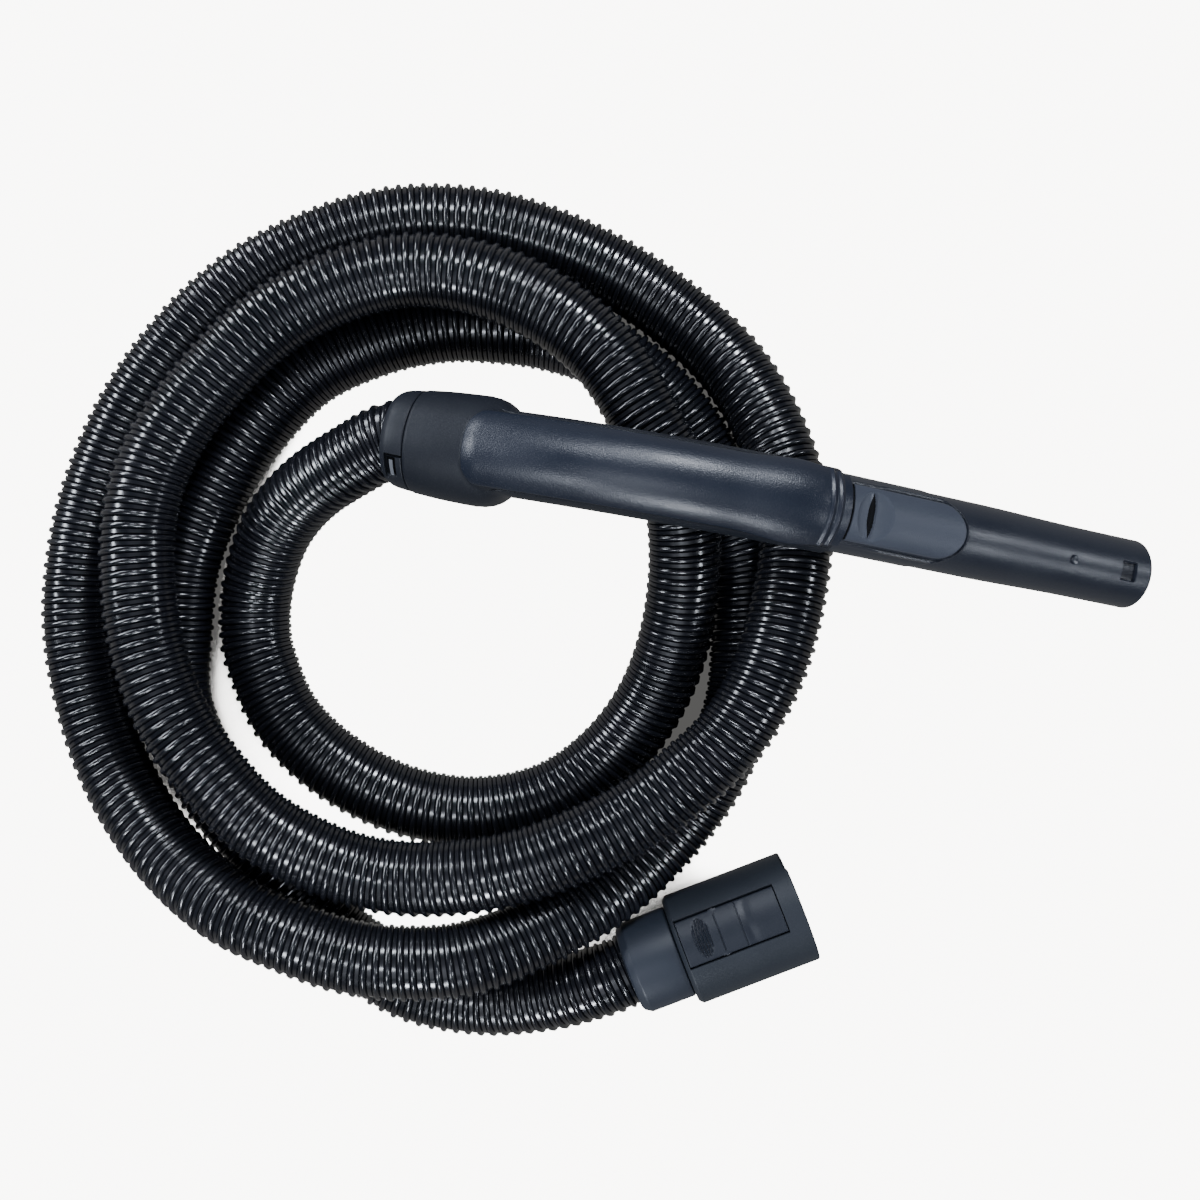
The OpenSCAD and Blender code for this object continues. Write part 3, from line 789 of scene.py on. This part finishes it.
# ---------------------------------------------------------------- coupling ring at the hose end of the handle
def build_ring():
    prof_a = np.array([0.4, 0.7, 1.4, 2.4, 3.6, 5.0, 7.0, 9.0, 11.0, 12.4, 12.75, 12.95])
    prof_r = np.array([20.6, 21.1, 21.75, 22.4, 23.0, 23.4, 23.8, 24.05, 24.25, 24.38, 24.25, 23.8])
    a = lines(0.4, 12.95, 0.8, (0.7, 0.3, 0.1), (3.65, 0.3, 0.1), (5.0, 0.35, 0.1), (6.0, 0.3, 0.1), (8.1, 0.3, 0.1), (9.75, 0.3, 0.1), (12.7, 0.3, 0.08))
    psi = lines(-180, 180, 4.0, *[(x, 1.7, 0.35) for x in (-24.2, -27.3, -54, 155.8, 152.7, 126)])[:-1]
    R = np.interp(a, prof_a, prof_r)
    A, S = np.meshgrid(a, psi, indexing="ij")
    Rg = np.broadcast_to(R[:, None], A.shape).copy()
    deep = np.zeros(A.shape)
    for off in (0, 180):
        rel = (S - off + 180 + 360) % 360 - 180  # psi relative to this side's top
        # axial lead-in at 25, catch window from 28.5 to 54, circumferential slot along it
        g1 = smooth(rel, -27.4, -26.9) * (1 - smooth(rel, -24.4, -23.9)) * smooth(A, 3.5, 3.8)
        g2 = smooth(A, 3.5, 3.8) * (1 - smooth(A, 4.8, 5.1)) * smooth(rel, -58, -57.4) * (1 - smooth(rel, -24.4, -23.9))
        win = smooth(A, 4.9, 5.2) * (1 - smooth(A, 9.6, 9.9)) * smooth(rel, -54.5, -53.7) * (1 - smooth(rel, -28.2, -27.4))
        bar = win * smooth(A, 5.9, 6.1) * (1 - smooth(A, 8.0, 8.2)) * (1 - smooth(rel, -31.5, -30.8))
        Rg -= np.maximum(1.7 * np.maximum(g1, g2), 2.5 * win) - 1.5 * bar
        deep = np.maximum(deep, np.where(bar > 0.5, 2.0, np.where(np.maximum(np.maximum(g1, g2), win) > 0.5, 1.0, 0.0)))
    ps = np.radians(S)
    P = np.stack([-Rg * np.cos(ps), Rg * np.sin(ps), A], -1)
    pr = np.radians(psi)
    extra = []
    for rad, z in ((22.0, 12.95), (19.6, 12.95), (19.6, 4.2), (20.0, 0.4)):
        extra.append(np.stack([-rad * np.cos(pr), rad * np.sin(pr), np.full(len(psi), z)], -1))
    allp = np.concatenate([P, np.array(extra)], 0)
    q = grid_faces(allp.shape[0], len(psi), wrap_v=True, wrap_u=True, flip=False)
    # faces in the lead-in, the slot and the window get the near-black slot_shadow material, painted shade; the bar in
    # the window gets the tab plastic
    dark = np.zeros(allp.shape[:2])
    dark[: len(a)] = deep
    f = dark.reshape(-1)[q]
    kind = np.where((f == 2).sum(1) >= 3, 2, np.where((f >= 1).sum(1) >= 3, 1, 0))
    o = mesh_from(
        "collar_ring", put(SOCKET, allp.reshape(-1, 3)), q, None, "handle_swivel", 35,
        mats=[MAT["housing"], MAT["slot"], MAT["tab"]], face_mat=kind,
    )
    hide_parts("coupling_ring")


build_ring()

# ---------------------------------------------------------------- plug
SEAM, PLUG_END = 27.5, 90.9
lathe(
    "hose_cuff_skin",
    rounded([
        (18.6, 0.2, 0.3), (19.6, 0.2, 0.3), (21.0, 1.0, 0.4), (23.0, 4.3, 0.5), (23.0, 26.6, 0.25), (22.4, 27.1, 0.2),
        (18.6, 27.1, 0.1), (18.6, 46.95, 0.3), (16.05, 46.95, 0.3), (16.05, 18.0, 0.2), (18.45, 18.0, 0.2),
    ]),
    PLUG, MAT["cuff"], "handle", 128,
)
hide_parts("machine_cuff")


def build_barrel():
    Rb = 27.9
    z = lines(
        SEAM + 2.2, PLUG_END - 0.9, 3.0,
        (SEAM + 2.6, 0.4, 0.15), (PLUG_END - 1.2, 0.4, 0.15), (29.4, 0.25, 0.1), (81.0, 0.25, 0.1),
    )
    edge = math.degrees(math.asin(12.3 / Rb))
    psi = lines(-180, 180, 4.0, (edge, 0.8, 0.25), (-edge, 0.8, 0.25), (180 - edge, 0.8, 0.25), (edge - 180, 0.8, 0.25))[:-1]
    Z, A = np.meshgrid(z, psi, indexing="ij")
    Rg = np.full(Z.shape, Rb)
    y = Rb * np.sin(np.radians(A))
    win = smooth(Z, 29.35, 29.5) * (1 - smooth(Z, 80.9, 81.05)) * (1 - smooth(np.abs(y), 12.2, 12.4))
    Rg = Rg - 2.45 * win
    P = np.stack([-Rg * np.cos(np.radians(A)), Rg * np.sin(np.radians(A)), Z], -1)
    pr = np.radians(psi)

    def ring(rad, zz):
        return np.stack([-rad * np.cos(pr), rad * np.sin(pr), np.full(len(psi), zz)], -1)

    head = [ring(r, zz) for r, zz in ((19.0, SEAM + 3.4), (19.0, SEAM), (25.7, SEAM), (26.1, SEAM + 0.15), (27.6, SEAM + 1.65), (27.85, SEAM + 2.05))]
    tail = [ring(r, zz) for r, zz in (
        (27.75, PLUG_END - 0.45), (27.35, PLUG_END - 0.08), (26.9, PLUG_END), (20.3, PLUG_END), (19.75, PLUG_END - 0.15),
        (19.6, PLUG_END - 0.6), (19.6, PLUG_END - 3.0), (25.4, PLUG_END - 3.0), (25.4, SEAM + 3.4))]
    allp = np.concatenate([np.array(head), P, np.array(tail)], 0)
    # the end stands back a little over part of its rim
    back = 0.6 * smooth(psi, 38, 40) * (1 - smooth(psi, 148, 150))
    last = allp[..., 2] > PLUG_END - 1.3
    allp[..., 2] -= np.where(last, back[None, :], 0)
    q = grid_faces(allp.shape[0], len(psi), wrap_v=True, wrap_u=True, flip=False)
    # faces in the window under the latches get the near-black slot_shadow material: painted shade
    dark = np.zeros(allp.shape[:2], bool)
    dark[len(head) : len(head) + len(z)] = win > 0.5
    kind = (dark.reshape(-1)[q].sum(1) >= 3).astype(int)
    o = mesh_from(
        "plug_shell", put(BARREL, allp.reshape(-1, 3)), q, None, "plug", 34,
        mats=[MAT["plug"], MAT["slot"]], face_mat=kind,
    )
    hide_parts("plug_barrel")


build_barrel()


def build_latch(name, node, body, upper):
    m = BARREL if upper else BARREL @ rot("z", 180)
    z0, z1, hw = 29.9, 80.6, 11.3
    z = lines(z0, z1, 1.8, (z0 + 0.4, 0.4, 0.12), (z1 - 0.4, 0.4, 0.12), (49.1, 0.6, 0.12), (60.2, 0.6, 0.12), (39.5, 6.4, 0.27), (63.5, 4.5, 0.6))
    n = 65
    v = np.linspace(-1, 1, n)
    v = np.sign(v) * (1 - (1 - np.abs(v)) ** 1.2)
    Y = hw * v[None, :] + 0 * z[:, None]
    Z = z[:, None] + 0 * Y
    Rr = np.full(Z.shape, 28.0)
    # rounded edge
    d = np.minimum(np.minimum(Z - z0, z1 - Z), hw - np.abs(Y))
    t = np.clip(1 - d / 0.6, 0, 1)
    Rr = Rr - 0.5 * (1 - np.sqrt(np.clip(1 - t * t, 0, 1)))
    # pivot line and a second line, moulded grooves
    for c, dep in ((49.1, 0.5), (60.2, 0.4)):
        Rr = Rr - dep * np.exp(-(((Z - c) / 0.32) ** 4))
    # thumb pad: lens-shaped hollow with curved ribs across it
    lens = 1 - ((Z - 40.4) / 4.5) ** 2 - (Y / 10.0) ** 2
    Rr = Rr - 0.85 * np.clip(lens, 0, 1) ** 0.55 * (lens > 0)
    bow = Z - 0.010 * Y**2
    ribs = np.clip(np.cos((bow - 40.2) / 1.6 * 2 * math.pi), 0, 1) ** 0.9
    Rr = Rr + 0.9 * ribs * smooth(lens, 0.03, 0.2)
    # scoop past the second line, then the end slopes off a little
    Rr = Rr - 0.6 * np.exp(-(((Z - 63.6 - 0.008 * Y**2) / 2.1) ** 2)) * (1 - 0.7 * smooth(np.abs(Y), 6, 11))
    X = np.sqrt(np.maximum(Rr**2 - Y**2, 1))
    outer = np.stack([-X, Y, Z], -1)
    Xi = np.sqrt(25.5**2 - Y**2)
    inner = np.stack([-Xi, Y, Z], -1)
    ring = np.concatenate([outer, inner[:, ::-1]], 1)
    nu = len(z)
    q = [grid_faces(nu, 2 * n, wrap_v=True, flip=True)]
    caps = []
    for b, fl in ((0, True), ((nu - 1) * 2 * n, False)):
        for i in range(n - 1):
            f = [b + i, b + i + 1, b + 2 * n - 2 - i, b + 2 * n - 1 - i]
            caps.append(f if not fl else f[::-1])
    q.append(np.array(caps))
    parts = [(put(m, ring.reshape(-1, 3)), np.concatenate(q))]
    parts.append(box_mesh((-26.0, -11.5, 47.0), (-21.9, 11.5, 51.2), 0.4, m))
    parts.append(box_mesh((-26.3, -4.0, 75.35), (-19.05, 4.0, 78.85), 0.4, m))
    o = joined(name, parts, MAT["latch"], body, 34)
    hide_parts(node)


build_latch("latch_skin_upper", "latch_upper", "latch_upper", True)
build_latch("latch_skin_lower", "latch_lower", "latch_lower", False)

# ---------------------------------------------------------------- CAD pieces that stay: materials
KEEP = {
    "slider_spring": "spring_steel", "handle_cuff": "cuff", "lock_tabs": "tab", "handle_snap_ring": "spring_steel",
    "handle_seal": "seal", "plug_liner": "cuff", "plug_snap_ring": "spring_steel", "plug_seal": "seal", "port_seal": "seal",
    "latch_pins": "spring_steel", "latch_spring_upper": "spring_steel", "latch_spring_lower": "spring_steel",
}
for node, slot_name in KEEP.items():
    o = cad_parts[node]
    o.data.materials.clear()
    o.data.materials.append(MAT[slot_name])

# each latch spring gets a mesh of its own
for node, side_sign in (("latch_spring_upper", -1), ("latch_spring_lower", 1)):
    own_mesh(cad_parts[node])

# ---------------------------------------------------------------- floor and light
CX, CY = -ORIGIN[0] / 1000, -ORIGIN[1] / 1000
me = bpy.data.meshes.new("ground")
g = 40.0
me.from_pydata([(CX - g, CY - g, -0.0006), (CX + g, CY - g, -0.0006), (CX + g, CY + g, -0.0006), (CX - g, CY + g, -0.0006)], [], [(0, 1, 2, 3)])
ground = bpy.data.objects.new("ground", me)
bpy.context.scene.collection.objects.link(ground)
gm = bpy.data.materials.new("ground_white")
gm.use_nodes = True
gn = gm.node_tree.nodes
gl = gm.node_tree.links
for x in list(gn):
    gn.remove(x)
out = gn.new("ShaderNodeOutputMaterial")
em = gn.new("ShaderNodeEmission")
em.inputs["Color"].default_value = (1.0, 0.985, 0.955, 1)
# the floor's glow is dimmed by ambient occlusion: painted shade under and between the strands and parts
shade = gn.new("ShaderNodeAmbientOcclusion")
shade.samples = 48
shade.inputs["Distance"].default_value = 0.045
power = gn.new("ShaderNodeMapRange")
power.inputs["From Min"].default_value = 0.19
power.inputs["From Max"].default_value = 0.27
power.inputs["To Min"].default_value = 0.012
power.inputs["To Max"].default_value = 1.0
power.interpolation_type = "SMOOTHSTEP"
# deeper shade on the floor under the crossing of the strands
spot = gn.new("ShaderNodeNewGeometry")
away = gn.new("ShaderNodeVectorMath")
away.operation = "DISTANCE"
away.inputs[1].default_value = (0.050 - ORIGIN[0] / 1000, -0.050 - ORIGIN[1] / 1000, -0.0006)
gl.new(spot.outputs["Position"], away.inputs[0])
deeper = gn.new("ShaderNodeMapRange")
deeper.interpolation_type = "SMOOTHSTEP"
deeper.inputs["From Min"].default_value = 0.037
deeper.inputs["From Max"].default_value = 0.047
deeper.inputs["To Min"].default_value = 0.30
deeper.inputs["To Max"].default_value = 0.0
gl.new(away.outputs["Value"], deeper.inputs["Value"])
less = gn.new("ShaderNodeMath")
less.operation = "SUBTRACT"
gl.new(shade.outputs["AO"], less.inputs[0])
gl.new(deeper.outputs["Result"], less.inputs[1])
gl.new(less.outputs[0], power.inputs[0])
seen = gn.new("ShaderNodeLightPath")
level = gn.new("ShaderNodeMapRange")
level.inputs["To Min"].default_value = 0.3
level.inputs["To Max"].default_value = 9.0
gl.new(seen.outputs["Is Camera Ray"], level.inputs["Value"])
times = gn.new("ShaderNodeMath")
times.operation = "MULTIPLY"
gl.new(power.outputs[0], times.inputs[0])
gl.new(level.outputs["Result"], times.inputs[1])
gl.new(times.outputs[0], em.inputs["Strength"])
gl.new(em.outputs[0], out.inputs["Surface"])
me.materials.append(gm)

world = bpy.data.worlds.new("room")
bpy.context.scene.world = world
world.use_nodes = True
wn = world.node_tree
bg = wn.nodes["Background"]
bg.inputs["Color"].default_value = (0.62, 0.72, 0.90, 1)
bg.inputs["Strength"].default_value = 0.05
far = wn.nodes.new("ShaderNodeBackground")
far.inputs["Color"].default_value = (1.0, 0.985, 0.955, 1)
far.inputs["Strength"].default_value = 9.0
looked = wn.nodes.new("ShaderNodeLightPath")
either = wn.nodes.new("ShaderNodeMixShader")
wn.links.new(looked.outputs["Is Camera Ray"], either.inputs[0])
wn.links.new(bg.outputs[0], either.inputs[1])
wn.links.new(far.outputs[0], either.inputs[2])
wn.links.new(either.outputs[0], wn.nodes["World Output"].inputs["Surface"])


def lamp(name, polar, azimuth, dist, size, radiance, color=(1, 1, 1), high=None):
    """A round area lamp, polar degrees from straight up towards compass azimuth (0 = +X, 90 = +Y), aimed at the middle."""
    d = bpy.data.lights.new(name, "AREA")
    d.shape = "DISK"
    d.size = size
    if high:
        d.shape = "ELLIPSE"
        d.size_y = high
    d.energy = radiance * math.pi * math.pi * size * (high or size) / 4
    d.color = color
    o = bpy.data.objects.new(name, d)
    p, a = math.radians(polar), math.radians(azimuth)
    direction = Vector((math.sin(p) * math.cos(a), math.sin(p) * math.sin(a), math.cos(p)))
    o.location = Vector((CX, CY, 0.05)) + direction * dist
    o.rotation_euler = direction.to_track_quat("Z", "Y").to_euler()
    bpy.context.scene.collection.objects.link(o)
    return o


COOL = (0.86, 0.91, 1.0)
lamp("softbox", 16, 262, 1.7, 1.9, 0.30, (0.84, 0.89, 1.0))
lamp("lamp_mid", 30, 265, 1.5, 0.8, 0.9, (0.84, 0.90, 1.0))
lamp("lamp_top", 20, 236, 1.5, 0.19, 42, COOL)
lamp("lamp_tube", 63, 8, 1.5, 0.20, 48, COOL)
lamp("lamp_back", 41, 103, 1.4, 0.24, 50, COOL)
lamp("lamp_far", 50, 72, 1.4, 0.26, 100, COOL)
lamp("lamp_right", 60, -28, 1.4, 0.20, 48, COOL)
lamp("lamp_front", 68, -95, 1.4, 0.26, 80, COOL)
lamp("lamp_fill", 54, 232, 1.4, 0.20, 70, COOL)
lamp("lamp_left", 68, 162, 1.4, 0.95, 33, COOL, high=0.23)
lamp("lamp_low", 84, 130, 1.4, 0.42, 17, COOL)
